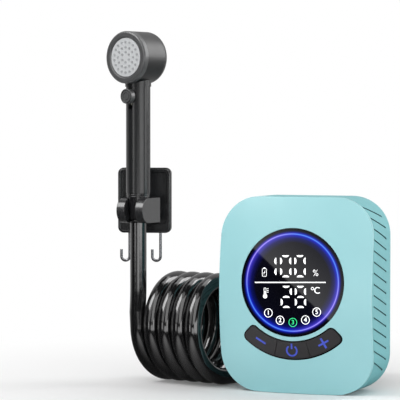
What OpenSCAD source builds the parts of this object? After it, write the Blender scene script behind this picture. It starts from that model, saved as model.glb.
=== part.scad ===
// Camp shower pump with its coiled hose, hand shower and holder.
// Millimetres, +Z up. The origin is the middle of the pump's foot and the display faces -Y.

/* [Pump body] */
// Width of the pump body
body_w = 131; // [127:1:137]
// Height of the pump body
body_h = 160.5; // [156:0.5:164]
// Depth of the pump body at the top of its crown
body_d = 69; // [66:0.5:72]
// Corner radius of the body seen from the front
corner_r = 32; // [30:0.5:35]
// Radius of the rounded edge round the back
rear_edge_r = 10; // [8:0.5:11]
// Sphere radius of the crowned front
crown_r = 260; // [250:5:320]
// Wall thickness of the rear shell
wall = 2.6; // [2.4:0.1:3]
// Thickness of the crowned front cover
cover_t = 3; // [2.6:0.1:3.2]
// Width of the parting line between the shells
seam_gap = 0.8; // [0.6:0.1:1]
// Height of the cover's skirt inside the rear shell
skirt_h = 6; // [4:0.5:8]
// Thickness of that skirt
skirt_t = 1.6; // [1.2:0.1:2]
// Distance of the case screws from the sides, top and foot
screw_inset = 20.5; // [20:0.1:21.5]
// Radius of the screw posts
post_r = 4.4; // [4:0.1:4.8]
// Shank radius of the case screws
screw_r = 1.5; // [1.2:0.1:1.6]

/* [Side grip] */
// Number of diagonal grooves on each side
groove_count = 15; // [11:1:15]
// Spacing of the grooves
groove_pitch = 9; // [8.4:0.1:9]
// Width of a groove
groove_w = 1.3; // [0.8:0.1:1.8]
// Depth of a groove
groove_depth = 1; // [0.6:0.1:1.4]
// Length of a groove along the depth of the body
groove_run = 34; // [26:1:36]
// Fall of a groove over its run
groove_fall = 10; // [6:0.5:12]

/* [Display] */
// Height of the display centre above the foot
dial_z = 91.5; // [88:0.5:93]
// Radius of the display lens
lens_r = 44; // [42:0.25:44.5]
// Thickness of the display lens
lens_t = 2.4; // [2:0.1:3]
// Clearance round the lens
lens_gap = 0.25; // [0.15:0.05:0.4]
// Width of the ledge that the lens rests on
ledge_w = 3; // [2.5:0.1:3.5]
// Radial width of the light ring
light_w = 4.2; // [3:0.1:5]

/* [Keys] */
// Width of cover left between the lens and the keys
key_inset = 4.4; // [4.2:0.1:5]
// Radial width of the keys
key_w = 13.75; // [12:0.25:14.5]
// Half angle of the whole key arc
key_half = 44; // [42:0.5:47]
// Half angle of the power key
power_half = 14.4; // [13:0.2:16]
// Corner radius at the ends of the key arc
key_corner = 4; // [2:0.25:4.5]
// Width of the black bezel round the keys
bezel_w = 0.9; // [0.7:0.1:1.2]
// Clearance between a key and what surrounds it
key_gap = 0.3; // [0.25:0.05:0.4]
// Height that the keys stand proud of the cover
key_proud = 0.6; // [0.3:0.1:0.9]
// Travel of a key
key_travel = 0.6; // [0.4:0.1:0.7]
// Width of the key switches on the board
switch_w = 6; // [5:0.25:7]
// Height of the key switches on the board
switch_h = 1.3; // [1:0.1:1.6]
// Thickness of the control board
board_t = 1.6; // [1.2:0.1:2]

/* [Pump works] */
// Sideways position of the pump axis
pump_x = 4; // [2:0.5:6]
// Height of the pump axis
pump_z = 50; // [48:0.5:51]
// Radius of the pump chamber
chamber_r = 19.5; // [18:0.25:20]
// Wall of the pump casing
casing_wall = 3; // [2.4:0.1:3.4]
// Depth of the pump casing with its cover
casing_d = 16.8; // [16.4:0.2:18]
// Radius of the motor
motor_r = 16; // [14:0.5:18]
// Length of the motor
motor_len = 22; // [18:0.5:23]
// Radius of the motor shaft
shaft_r = 1.5; // [1.2:0.1:2]
// Running clearance round the shaft
shaft_gap = 0.05; // [0.03:0.01:0.08]
// Radius of the impeller
impeller_r = 16.5; // [15:0.25:17]
// Radius of the inlet eye
eye_r = 8; // [6:0.5:9]
// Radius of the inlet strainer
strainer_r = 20; // [18:0.5:21]
// Radius of a battery cell
cell_r = 9.2; // [8.8:0.1:9.3]
// Length of a battery cell
cell_len = 65; // [60:0.5:67]
// Space between neighbouring ribs of the battery tray
rib_pitch = 26; // [22:1:28]
// Space between the battery tray and the charge socket beside it
charge_gap = 2; // [1.5:0.25:3]
// Width of the charge socket's flange
socket_w = 15; // [14:0.25:16]
// Height of the charge socket above the foot
charge_z = 100; // [96:1:110]

/* [Outlet and hose] */
// Sideways position of the outlet
outlet_x = 42; // [40:0.5:44]
// Radius of the outlet spigot
spigot_r = 6; // [5.4:0.1:6.3]
// Outer diameter of the hose
hose_d = 14; // [13:0.25:14.5]
// Space between neighbouring loops of the coil
coil_gap = 0.6; // [0.5:0.1:1]
// Radius of the coil to the middle of the hose
coil_r = 40; // [37:0.5:41]
// Full turns of the coil
coil_turns = 4; // [3:1:4]
// Direction of the coil's axis seen from above
coil_yaw = -15; // [-17:0.5:-12]

/* [Hand shower] */
// Radius of the handle
handle_r = 10.3; // [9.8:0.1:11]
// Height of the head's centre above the end of the handle
head_rise = 114.2; // [110:0.2:120]
// Radius of the shower head
head_r = 22; // [21:0.1:23]
// Width of the rim round the spray face
rim_w = 5.8; // [5:0.1:6.5]
// Depth of the shower head
head_d = 32.5; // [30:0.5:34]
// Reach of the spray face in front of the handle's axis
head_reach = 16.5; // [15.5:0.25:17]
// Direction of the spray seen from above
head_yaw = -18; // [-26:1:-12]
// Radius of the stop slider's knob
knob_r = 6.2; // [5.4:0.1:7]
// Travel of the stop slider
slider_travel = 8; // [6:0.5:9]
// Distance of the stop slider below the middle of the head
slider_drop = 32.6; // [31:0.2:36]
// Height of the handle's end above the middle of the cradle
handle_seat = 14.5; // [13.5:0.25:15]
// Length of the hose nut under the handle
nut_len = 22; // [21:0.25:24]

/* [Holder] */
// Height of the cradle's centre above the floor
cradle_z = 147; // [144:0.5:149]
// Height of the cradle's two rounded arms
cradle_h = 21; // [19:0.5:22]
// Width over both arms of the cradle
cradle_w = 25; // [24.5:0.25:27]
// Reach of the arms in front of the handle's axis
cradle_reach = 15.5; // [14.5:0.25:16.5]
// Distance of the cradle's back behind the handle's axis
cradle_back = 11; // [10.8:0.1:11.6]
// Width of the slot between the arms
cradle_slot = 10.5; // [10:0.25:13]
// Direction that the arms point, measured from straight off the plate
cradle_turn = -18; // [-24:1:0]
// Clearance between the hose nut and the cradle
seat_gap = 0.3; // [0.2:0.05:0.4]
// Distance of the tilt pin behind the handle's axis
pivot_back = 21; // [20.6:0.1:22]
// Radius of the tilt pin
pin_r = 2; // [1.6:0.1:2.4]
// Width of the holder plate
plate_w = 46; // [42:0.5:50]
// Height of the holder plate
plate_h = 56; // [52:0.5:60]
// Thickness of the holder plate
plate_t = 5; // [4.4:0.1:6]
// Direction that the holder faces, seen from above
holder_yaw = 13; // [7:0.5:19]
// Wire radius of the two hooks
hook_r = 1.2; // [1:0.1:1.4]
// Length of the hooks below the plate, down to their bend
hook_drop = 20.4; // [18:0.2:24]

/* [Hidden] */
$fn = 64;
eps = 0.01;
hose_r = hose_d / 2;
// Place of the vertical run of hose, which carries the hand shower
riser_x = -146;
riser_y = -9;
// Levels of the body along Y
front_y = -body_d / 2;
back_y = body_d / 2;
inside_y = back_y - wall;
ball_y = front_y + crown_r;
mid_z = body_h / 2;
// The dial is set square to the crown, so it leans back a little
dial_tilt = asin((dial_z - mid_z) / crown_r);
// Depths behind the crown's highest point, measured square to the dial
function sag(r) = crown_r - sqrt(crown_r * crown_r - r * r);
lens_front = sag(lens_r);
lens_back = lens_front + lens_t;
ring_r = lens_r + lens_gap + 2.4;
key_r1 = lens_r + key_inset;
key_r2 = key_r1 + key_w;
key_mid = (key_r1 + key_r2) / 2;
flange_r = key_r2 + bezel_w + 1.2;
flange_front = sag(flange_r) + cover_t + 0.3;
flange_back = flange_front + 0.8;
board_y = flange_back + key_travel + 0.2 + switch_h;
side_key = (key_half + power_half) / 2;
// Screw posts
post_x = body_w / 2 - screw_inset;
tunnel_y = -6;
seat_y = back_y - 12;
// Pump works
casing_y = inside_y - casing_d;
cover_y = inside_y - 3;
channel_y = (casing_y + cover_y) / 2 + 1;
channel_r = 4.5;
outlet_z = pump_z - chamber_r + channel_r + 1;
nut_y = back_y + 22;
oring_r = 0.5;
cell_pitch = 2 * cell_r + 1;
cell_y = inside_y - 3.6 - cell_r;
cell_top = body_h - 30;
works_top = pump_z + chamber_r + casing_wall;
cell_count = floor((cell_top + cell_r - works_top - 2) / cell_pitch);
cell_low = cell_top - (cell_count - 1) * cell_pitch;
tray_lip = 2;
charge_x = cell_len / 2 + tray_lip + charge_gap + socket_w / 2;
// Strainer
strainer_y = back_y - 1.4;
// Hose coil, which lies on its side with its lowest points on the floor
coil_pitch = hose_d + coil_gap;
coil_axis = [cos(coil_yaw), sin(coil_yaw), 0];
coil_away = [-sin(coil_yaw), cos(coil_yaw), 0];
coil_start = [riser_x, riser_y, coil_r + hose_r];
coil_mid = coil_start + coil_r * coil_away;
coil_end_a = 360 * coil_turns + 90;
up = [0, 0, 1];
function unit(v) = v / norm(v);
function coil_point(a) =
    coil_mid + coil_axis * coil_pitch * a / 360
    - coil_away * coil_r * cos(a) - up * coil_r * sin(a);
function coil_dir(a) =
    unit(coil_axis * coil_pitch / (2 * PI) + coil_away * coil_r * sin(a) - up * coil_r * cos(a));
coil_first = coil_start - hose_d * coil_dir(0);
coil_last = coil_point(coil_end_a) + hose_d * coil_dir(coil_end_a);
coil_loops = [for (a = [0:15:coil_end_a]) coil_point(a)];
coil_path = concat([coil_first], coil_loops, [coil_last]);
coil_least = min([
    for (i = [0:len(coil_loops) - 13])
        for (j = [i + 12:len(coil_loops) - 1])
            norm(coil_loops[i] - coil_loops[j])
]) - hose_d;
echo(least_gap_between_coil_loops = coil_least);
// Hand shower and holder levels
nut_r1 = 8.2;
nut_r2 = handle_r - 0.5;
handle_z = cradle_z + handle_seat;
nut_z = handle_z - nut_len;
function nut_radius(z) = nut_r1 + (nut_r2 - nut_r1) * (z - nut_z) / nut_len;
head_z = handle_z + head_rise;
head_front = -head_reach;
head_back = head_d - head_reach;
ring_y = head_front + 5;
face_r = head_r - rim_w;
slider_z = head_z - slider_drop;
bore_r = 7.2;
plate_y = pivot_back + 6.5;
plate_z = cradle_z + 7.5;
knuckle_r = 5.5;
knuckle_w = 11.4;
ear_w = 4;
// Drops of the vertical hose below the nut, and the route of the tail along the floor
riser_drops = [0, 12, 24, 38, 52, 64];
tail_route = [
    [-68, 45, 0], [-68, 62, 0], [-68, 78, 0], [-66, 93, 0], [-60, 107, 0], [-50, 119, 1], [-37, 127, 2],
    [-22, 132, 4], [-6, 132, 7], [9, 127, 10], [22, 119, 14], [32, 107, 18], [38, 93, 23], [41, 80, 27], [42, 68, 29]
];

// Round bars and slabs along the axes
module rod_x(r, x0, x1) translate([x0, 0, 0]) rotate([0, 90, 0]) cylinder(r = r, h = x1 - x0);
module rod_y(r, y0, y1) translate([0, y1, 0]) rotate([90, 0, 0]) cylinder(r = r, h = y1 - y0);
module rod_z(r, z0, z1) translate([0, 0, z0]) cylinder(r = r, h = z1 - z0);
module slab_y(y0, y1) translate([0, y1, 0]) rotate([90, 0, 0]) linear_extrude(y1 - y0) children();

// Flat outlines
module rounded(w, h, r) {
    square([w - 2 * r, h], center = true);
    square([w, h - 2 * r], center = true);
    for (x = [-1, 1])
        for (y = [-1, 1])
            translate([x * (w / 2 - r), y * (h / 2 - r)]) circle(r);
}
module stadium(w, h) {
    square([w - h, h], center = true);
    for (x = [-1, 1])
        translate([x * (w - h) / 2, 0]) circle(h / 2);
}
module wedge(a0, a1) {
    far = 2 * flange_r;
    polygon([[0, 0], [far * sin(a0), -far * cos(a0)], [far * sin(a1), -far * cos(a1)]]);
}
module band(r1, r2, half) {
    intersection() {
        difference() {
            circle(r2);
            circle(r1);
        }
        wedge(-half, half);
    }
}
// The arc that holds the three keys, grown by a margin on every side: two long curves
// joined by a rounded corner at each of their four ends
function polar(r, a) = [r * sin(a), -r * cos(a)];
function corner(mid, r, a0, a1) = [for (i = [0:6]) mid + polar(r, a0 + (a1 - a0) * i / 6)];
function arc_outline(r1, r2, half, c) =
    let (
        far = half - asin(c / (r2 - c)),
        near = half - asin(c / (r1 + c))
    ) concat(
        [for (i = [0:30]) polar(r2, -far + 2 * far * i / 30)],
        corner(polar(r2 - c, far), c, far, half + 90),
        corner(polar(r1 + c, near), c, half + 90, near + 180),
        [for (i = [0:30]) polar(r1, near - 2 * near * i / 30)],
        corner(polar(r1 + c, -near), c, 180 - near, 270 - half),
        corner(polar(r2 - c, -far), c, 270 - half, 360 - far)
    );
module key_arc(grow) {
    half = key_half + grow * 180 / PI / key_mid;
    polygon(arc_outline(key_r1 - grow, key_r2 + grow, half, key_corner + grow));
}

// The body's outline drawn in by an inset, with its back edge rounded
module edge_profile(r, d, e) {
    square([r, d - e]);
    square([r - e, d]);
    translate([r - e, d - e]) circle(e);
}
module body_block(inset, start) {
    w = body_w / 2 - corner_r;
    h = body_h / 2 - corner_r;
    r = corner_r - inset;
    e = rear_edge_r - inset;
    d = back_y - inset - start;
    translate([0, start, mid_z]) {
        for (q = [0:3])
            translate([(q < 2 ? 1 : -1) * w, 0, (q == 0 || q == 3 ? -1 : 1) * h])
                rotate([0, -90 * q, 0])
                    rotate([-90, 0, 0])
                        rotate_extrude(angle = 90) edge_profile(r, d, e);
        for (s = [0, 1]) {
            mirror([s, 0, 0])
                translate([w, 0, -h]) linear_extrude(2 * h) edge_profile(r, d, e);
            mirror([0, 0, s])
                translate([w, 0, h]) rotate([0, -90, 0]) linear_extrude(2 * w) edge_profile(r, d, e);
        }
        translate([-w, 0, -h]) cube([2 * w, d, 2 * h]);
    }
}
module body_prism(inset, y0, y1) {
    translate([0, 0, mid_z])
        slab_y(y0, y1) rounded(body_w - 2 * inset, body_h - 2 * inset, corner_r - inset);
}
// The crown's sphere, drawn in by an inset
module crown_ball(inset) translate([0, ball_y, mid_z]) rotate([90, 0, 0]) sphere(crown_r - inset, $fn = 240);
module on_dial() {
    translate([0, ball_y, mid_z]) rotate([-dial_tilt, 0, 0]) translate([0, -crown_r, 0]) children();
}
module dial_ball(inset) translate([0, crown_r, 0]) rotate([90, 0, 0]) sphere(crown_r - inset, $fn = 240);
module at_posts() {
    for (x = [-1, 1])
        for (z = [screw_inset, body_h - screw_inset])
            translate([x * post_x, 0, z]) children();
}
module at_board_screws() {
    for (a = [60, 180, 300])
        rotate([0, a, 0]) translate([0, 0, (lens_r - ledge_w + ring_r) / 2]) children();
}
module at_pump() translate([pump_x, 0, pump_z]) children();
module at_outlet() translate([outlet_x, 0, outlet_z]) children();
module at_charge() translate([charge_x, 0, charge_z]) children();

module front_cover() {
    color([0.62, 0.78, 0.78]) difference() {
        union() {
            intersection() {
                body_prism(0, front_y - 1, 0);
                difference() {
                    crown_ball(0);
                    crown_ball(cover_t);
                }
            }
            intersection() {
                difference() {
                    body_prism(wall + 0.25, front_y, skirt_y());
                    body_prism(wall + 0.25 + skirt_t, front_y - 1, skirt_y() + 1);
                }
                crown_ball(cover_t - 0.5);
            }
            on_dial() intersection() {
                rod_y(ring_r, 0, board_y);
                dial_ball(0.8);
            }
            intersection() {
                at_posts() rod_y(post_r, front_y, tunnel_y - 0.2);
                crown_ball(0.8);
            }
        }
        on_dial() {
            rod_y(lens_r + lens_gap, -1, lens_back);
            rod_y(lens_r - ledge_w, -1, board_y + 1);
            slab_y(-1, flange_front) key_arc(bezel_w + 0.05);
            at_board_screws() rod_y(1.05, lens_back + 1.6, board_y + 1);
        }
        at_posts() rod_y(screw_r + 0.05, tunnel_y - 11, tunnel_y);
    }
}
// The skirt ends this far back, behind the furthest point of the cover's rim
function skirt_y() = front_y + sag(mid_z) + cover_t + skirt_h;

module rear_shell() {
    color([0.55, 0.74, 0.75]) difference() {
        union() {
            intersection() {
                difference() {
                    body_block(0, front_y);
                    body_block(wall, front_y - 1);
                }
                crown_ball(cover_t + seam_gap);
            }
            at_posts() rod_y(post_r, tunnel_y, inside_y + 0.5);
        }
        at_posts() {
            rod_y(screw_r + 0.3, tunnel_y - 1, seat_y + 1);
            rod_y(post_r - 1.1, seat_y, back_y + 1);
        }
        at_pump() {
            rod_y(strainer_r + 0.2, strainer_y, back_y + 1);
            rod_y(eye_r, inside_y - 1, back_y);
        }
        at_outlet() rod_y(spigot_r + 0.3, inside_y - 1, back_y + 1);
        at_charge() {
            slab_y(inside_y - 1, back_y) stadium(10.4, 4.4);
            slab_y(back_y - 1.6, back_y + 1) rounded(20.6, 12.6, 2.3);
            translate([0, back_y, 6]) rod_x(1.3, -6.4, 6.4);
        }
        side_grooves();
    }
}
module side_grooves() {
    difference() {
        for (s = [0, 1])
            mirror([s, 0, 0])
                for (i = [0:groove_count - 1])
                    translate([body_w / 2 - 25, 0, mid_z + groove_fall / 2 + groove_pitch * (i - (groove_count - 1) / 2)])
                        rotate([-atan(groove_fall / groove_run), 0, 0])
                            translate([0, 0, -groove_w / 2]) groove_bar();
        body_prism(groove_depth, front_y - 1, back_y + 1);
    }
}
module groove_bar() {
    run = norm([groove_run, groove_fall]);
    translate([0, -groove_run / 2 - 3, 0]) cube([30, run, groove_w]);
}
module seam_gasket() {
    color([0.13, 0.15, 0.16]) intersection() {
        difference() {
            body_prism(0.7, front_y - 1, 0);
            body_prism(wall, front_y - 2, 1);
        }
        difference() {
            crown_ball(cover_t + 0.03);
            crown_ball(cover_t + seam_gap - 0.03);
        }
    }
}

module display_lens() {
    color([0.06, 0.06, 0.08]) on_dial() rod_y(lens_r, lens_front, lens_back);
}
module light_ring() {
    color([0.35, 0.4, 0.9]) on_dial() difference() {
        rod_y(lens_r - ledge_w - 0.2, lens_back + 0.15, board_y);
        rod_y(lens_r - ledge_w - 0.2 - light_w, lens_back, board_y + 1);
    }
}
module display_module() {
    color([0.1, 0.1, 0.12]) on_dial() rod_y(lens_r - ledge_w - light_w - 1, lens_back + 0.3, board_y);
}
module control_board() {
    color([0.12, 0.4, 0.25]) on_dial() difference() {
        slab_y(board_y, board_y + board_t) {
            circle(ring_r);
            band(ring_r - 8, flange_r, key_half + 4);
        }
        at_board_screws() rod_y(1.2, board_y - 1, board_y + board_t + 1);
    }
}
module key_switches() {
    color([0.7, 0.7, 0.72]) on_dial()
        for (a = [-side_key, 0, side_key])
            rotate([0, a, 0])
                translate([-switch_w / 2, board_y - switch_h, -key_mid - switch_w / 2])
                    cube([switch_w, switch_h, switch_w]);
}
module board_screws() {
    color([0.72, 0.72, 0.74]) on_dial() at_board_screws() {
        rod_y(1, lens_back + 2, board_y + board_t + eps);
        rod_y(2.1, board_y + board_t, board_y + board_t + 1.4);
    }
}
module key_bezel() {
    color([0.04, 0.04, 0.05]) on_dial() intersection() {
        slab_y(-1, flange_front - 0.3) difference() {
            key_arc(bezel_w);
            key_arc(0);
        }
        dial_ball(0);
    }
}
// One key between two angles of the arc, with the flange that keeps it in
module key(a0, a1) {
    open = (key_gap + 0.1) / key_mid * 180 / PI;
    on_dial() {
        intersection() {
            slab_y(-2, flange_front + 0.1) intersection() {
                key_arc(-key_gap);
                wedge(a0 + open / 2, a1 - open / 2);
            }
            dial_ball(-key_proud);
        }
        slab_y(flange_front, flange_back) intersection() {
            band(key_r1 + key_gap + 1, flange_r, key_half + 1.5);
            wedge(a0 + open / 2, a1 - open / 2);
        }
    }
}
module minus_key() color([0.2, 0.2, 0.21]) key(-key_half - 2, -power_half);
module power_key() color([0.2, 0.2, 0.21]) key(-power_half, power_half);
module plus_key() color([0.2, 0.2, 0.21]) key(power_half, key_half + 2);

module battery_tray() {
    bank = (cell_count - 1) * cell_pitch + 2 * cell_r;
    color([0.25, 0.26, 0.28]) difference() {
        union() {
            translate([-cell_len / 2 - tray_lip, inside_y - 2.4, cell_low - cell_r])
                cube([cell_len + 2 * tray_lip, 2.4, bank]);
            for (x = [-rib_pitch, 0, rib_pitch])
                translate([x - 2, cell_y - 3, cell_low - cell_r - 1.6])
                    cube([4, inside_y - cell_y + 2, bank + 3.2]);
        }
        at_cells() rod_x(cell_r + 0.1, -cell_len / 2 - 4, cell_len / 2 + 4);
    }
}
module at_cells() {
    for (i = [0:cell_count - 1])
        translate([0, cell_y, cell_top - i * cell_pitch]) children();
}
module battery_cells() {
    color([0.2, 0.45, 0.75]) at_cells() {
        rod_x(cell_r, -cell_len / 2, cell_len / 2 - 1);
        rod_x(3, cell_len / 2 - 2, cell_len / 2);
    }
}

module motor() {
    color([0.66, 0.67, 0.69]) at_pump() difference() {
        union() {
            rod_y(motor_r, casing_y - motor_len, casing_y);
            rod_y(5, casing_y - motor_len - 2.5, casing_y - motor_len + 1);
        }
        rod_y(shaft_r + shaft_gap, casing_y - motor_len + 1, casing_y + 1);
    }
}
module motor_shaft() {
    color([0.78, 0.78, 0.8]) at_pump() rod_y(shaft_r, casing_y - motor_len + 1.5, casing_y + 9.4);
}
module shaft_seal() {
    color([0.08, 0.08, 0.08]) at_pump() difference() {
        rod_y(4.5, casing_y, casing_y + 2.4);
        rod_y(shaft_r + shaft_gap, casing_y - 1, casing_y + 3);
    }
}
module impeller() {
    color([0.85, 0.85, 0.8]) at_pump() difference() {
        union() {
            rod_y(impeller_r, casing_y + 3.4, casing_y + 5);
            rod_y(4.5, casing_y + 3.4, casing_y + 11);
            for (a = [0:60:300])
                rotate([0, a, 0]) slab_y(casing_y + 4.8, casing_y + 11.6) vane();
        }
        rod_y(shaft_r + 0.02, casing_y, casing_y + 9.5);
    }
}
module vane() {
    intersection() {
        difference() {
            translate([9, 0]) circle(9.6);
            translate([9, 0]) circle(8.4);
            circle(4);
        }
        circle(impeller_r - 0.5);
        translate([0, 1.5]) square([30, 20]);
    }
}
module pump_casing() {
    reach = outlet_x - pump_x;
    drop = outlet_z - pump_z;
    color([0.3, 0.31, 0.33]) at_pump() difference() {
        union() {
            rod_y(chamber_r + casing_wall, casing_y, cover_y);
            translate([8, channel_y - 6.4, drop - 7.5]) cube([reach + 1, cover_y - channel_y + 6.4, 15]);
        }
        rod_y(chamber_r, casing_y + 2.4, cover_y + 1);
        rod_y(4.5, casing_y - 1, casing_y + 3);
        translate([0, channel_y, drop]) rod_x(channel_r, 8, reach + 4);
        translate([reach, 0, drop]) {
            rod_y(channel_r, channel_y, cover_y);
            rod_y(spigot_r + 0.05, cover_y - 5, cover_y + 1);
        }
    }
}
module casing_cover() {
    color([0.34, 0.35, 0.37]) at_pump() difference() {
        rod_y(chamber_r + casing_wall, cover_y, inside_y);
        rod_y(eye_r, cover_y - 1, inside_y + 1);
    }
}
module inlet_strainer() {
    color([0.2, 0.21, 0.22]) at_pump() difference() {
        union() {
            rod_y(strainer_r, back_y + 0.4, back_y + 1.8);
            difference() {
                rod_y(strainer_r, strainer_y, back_y + 1);
                rod_y(strainer_r - 2, strainer_y - 1, back_y + 1);
            }
        }
        slab_y(strainer_y - 1, back_y + 3) intersection() {
            circle(strainer_r - 3);
            for (i = [-3:3])
                for (s = [-1, 1])
                    translate([s * (strainer_r / 2 + 1.2), i * 4.4]) square([strainer_r, 2], center = true);
        }
    }
}
module outlet_spigot() {
    color([0.18, 0.19, 0.2]) at_outlet() difference() {
        union() {
            rod_y(spigot_r, cover_y - 4.8, nut_y - 4);
            rod_y(9.5, back_y, back_y + 2.6);
        }
        rod_y(spigot_r - 1.8, cover_y - 6, nut_y);
        difference() {
            rod_y(spigot_r + 1, cover_y - 3.4, cover_y - 1.6);
            rod_y(spigot_r - 2 * oring_r + 0.04, cover_y - 4, cover_y - 1);
        }
    }
}
module spigot_oring() {
    color([0.05, 0.05, 0.05]) at_outlet()
        translate([0, cover_y - 2.5, 0]) rotate([90, 0, 0])
            rotate_extrude() translate([spigot_r - oring_r + 0.045, 0]) circle(oring_r - 0.005);
}
module outlet_nut() {
    color([0.16, 0.17, 0.18]) at_outlet() difference() {
        union() {
            rod_y(hose_r + 3.6, back_y + 4, nut_y - 4);
            rod_y(hose_r + 2, nut_y - 4.5, nut_y);
        }
        rod_y(spigot_r + 0.05, back_y + 3, nut_y - 4);
        rod_y(spigot_r - 1.8, back_y + 3, nut_y + 1);
    }
}

module charge_socket() {
    color([0.3, 0.3, 0.32]) at_charge() difference() {
        union() {
            slab_y(inside_y - 8, back_y - 1.6) stadium(10.2, 4.2);
            slab_y(inside_y - 1.6, inside_y) rounded(socket_w, 9, 1.5);
        }
        difference() {
            slab_y(inside_y - 6, back_y) stadium(8.6, 2.8);
            translate([-3.3, inside_y - 7, -0.35]) cube([6.6, 5, 0.7]);
        }
    }
}
module charge_cover() {
    color([0.14, 0.15, 0.16]) at_charge() {
        translate([0, 0, -0.5]) slab_y(back_y - 1.3, back_y + 0.2) rounded(20, 11, 2);
        slab_y(back_y - 2.1, back_y - 1.2) stadium(7.8, 2.1);
        translate([0, back_y, 6]) rod_x(0.9, -6, 6);
        translate([-6, back_y - 0.6, 4.5]) cube([12, 0.8, 1.5]);
    }
}
module case_screws() {
    color([0.75, 0.75, 0.77]) at_posts() {
        rod_y(screw_r, tunnel_y - 10, seat_y + eps);
        difference() {
            rod_y(2 * screw_r, seat_y, seat_y + 2.4);
            rod_y(0.8 * screw_r, seat_y + 1, seat_y + 3);
        }
    }
}
module screw_plugs() {
    color([0.5, 0.68, 0.69]) at_posts() rod_y(post_r - 1.2, back_y - 2.2, back_y - 0.2);
}

// Rings of a round tube carried along a path without twisting
function carry(t, q, i = 0) =
    i == len(t) ? [] : let (v = unit(q - (q * t[i]) * t[i])) concat([v], carry(t, v, i + 1));
module tube(path, first, last, r, sides) {
    n = len(path);
    t = [for (i = [0:n - 1]) i == 0 ? first : i == n - 1 ? last : unit(path[i + 1] - path[i - 1])];
    seed = abs(t[0][2]) < 0.9 ? [0, 0, 1] : [1, 0, 0];
    u = carry(t, unit(cross(t[0], seed)));
    ring = [
        for (i = [0:n - 1])
            for (k = [0:sides - 1])
                path[i] + r * (u[i] * cos(360 * k / sides) + cross(t[i], u[i]) * sin(360 * k / sides))
    ];
    walls = [
        for (i = [0:n - 2])
            for (k = [0:sides - 1])
                let (a = i * sides + k, b = i * sides + (k + 1) % sides)
                    each [[a, a + sides, b + sides], [a, b + sides, b]]
    ];
    top = (n - 1) * sides;
    caps = [for (k = [1:sides - 2]) each [[0, k, k + 1], [top, top + k + 1, top + k]]];
    polyhedron(points = ring, faces = concat(walls, caps));
}
module hose_riser() {
    path = concat([for (d = riser_drops) [riser_x, riser_y, nut_z - d]], [coil_first]);
    color([0.07, 0.07, 0.07]) tube(path, -up, coil_dir(0), hose_r, 12);
}
module hose_coil() {
    color([0.07, 0.07, 0.07]) tube(coil_path, coil_dir(0), coil_dir(coil_end_a), hose_r, 8);
}
module hose_tail() {
    path = concat([coil_last], [for (p = tail_route) p + [0, 0, hose_r]], [[outlet_x, nut_y, outlet_z]]);
    color([0.07, 0.07, 0.07]) tube(path, coil_dir(coil_end_a), [0, -1, 0], hose_r, 12);
}

module in_hand() translate([riser_x, riser_y, 0]) rotate([0, 0, head_yaw]) children();
module in_head() in_hand() translate([0, 0, head_z]) children();
module in_holder() translate([riser_x, riser_y, 0]) rotate([0, 0, holder_yaw]) children();
module at_pivot() in_holder() translate([0, pivot_back, cradle_z]) children();

module handle() {
    color([0.24, 0.25, 0.27]) in_hand() difference() {
        union() {
            rod_z(handle_r, handle_z, head_z);
            rod_z(handle_r + 0.7, head_z - head_r - 2.4, head_z);
        }
        rod_z(4.5, handle_z - 1, head_z);
        rod_z(bore_r, slider_z - slider_travel - 11, head_z);
        translate([-2, -handle_r - 2, slider_z - slider_travel - 3])
            cube([4, handle_r, slider_travel + 6]);
        translate([0, 0, head_z]) rod_y(head_r, -2 * head_d, 2 * head_d);
    }
}
module head_profile(inset, start) {
    e = 7 - inset;
    translate([0, start]) edge_profile(head_r - inset, head_back - inset - start, e);
}
module head_shell() {
    color([0.24, 0.25, 0.27]) in_head() difference() {
        rotate([-90, 0, 0]) rotate_extrude() difference() {
            head_profile(0, ring_y);
            head_profile(2.2, ring_y - 1);
        }
        rod_z(5, -head_r - 1, -8);
    }
}
module head_ring() {
    r = head_r;
    color([0.3, 0.31, 0.33]) in_head() rotate([-90, 0, 0]) rotate_extrude()
        polygon([
            [face_r - 2, ring_y], [r, ring_y], [r, head_front + 1.3], [r - 0.5, head_front + 0.4],
            [r - 1.6, head_front], [face_r + 1.4, head_front], [face_r + 0.2, head_front + 1.2],
            [face_r + 0.2, head_front + 3.2], [face_r - 2, head_front + 3.2]
        ]);
}
module head_gasket() {
    color([0.05, 0.05, 0.05]) in_head() difference() {
        rod_y(head_r - 2.4, ring_y, ring_y + 1.6);
        rod_y(face_r - 1, ring_y - 1, ring_y + 2);
    }
}
module nozzle_plate() {
    color([0.86, 0.87, 0.88]) in_head() difference() {
        rod_y(face_r, head_front + 0.8, head_front + 3.2);
        for (k = [1:3])
            for (i = [0:6 * k - 1])
                rotate([0, 60 * i / k, 0])
                    translate([0, 0, k * (face_r - 3.4) / 3]) rod_y(0.6, head_front, head_front + 4);
    }
}
module stop_slider() {
    color([0.2, 0.2, 0.22]) in_hand() translate([0, 0, slider_z]) {
        rod_y(knob_r, -handle_r - 5, -handle_r - 0.4);
        translate([-1.7, -handle_r - 1, -2.6]) cube([3.4, handle_r - 4.4, 5.2]);
    }
}
module valve_spool() {
    color([0.75, 0.75, 0.72]) in_hand() translate([0, 0, slider_z]) difference() {
        rod_z(bore_r - 0.3, -7, 7);
        rod_z(2.6, -8, 8);
        translate([-1.72, -handle_r - 1, -2.62]) cube([3.44, handle_r - 4.38, 5.24]);
    }
}
module hose_nut() {
    color([0.18, 0.19, 0.2]) in_hand() difference() {
        translate([0, 0, nut_z]) cylinder(r1 = nut_r1, r2 = nut_r2, h = nut_len);
        rod_z(4.5, nut_z - 1, handle_z + 1);
        rod_z(bore_r, handle_z - 2, handle_z + 1);
    }
}
module nut_washer() {
    color([0.05, 0.05, 0.05]) in_hand() difference() {
        rod_z(bore_r - 0.1, handle_z - 2, handle_z);
        rod_z(4.5, handle_z - 3, handle_z + 1);
    }
}

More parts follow.
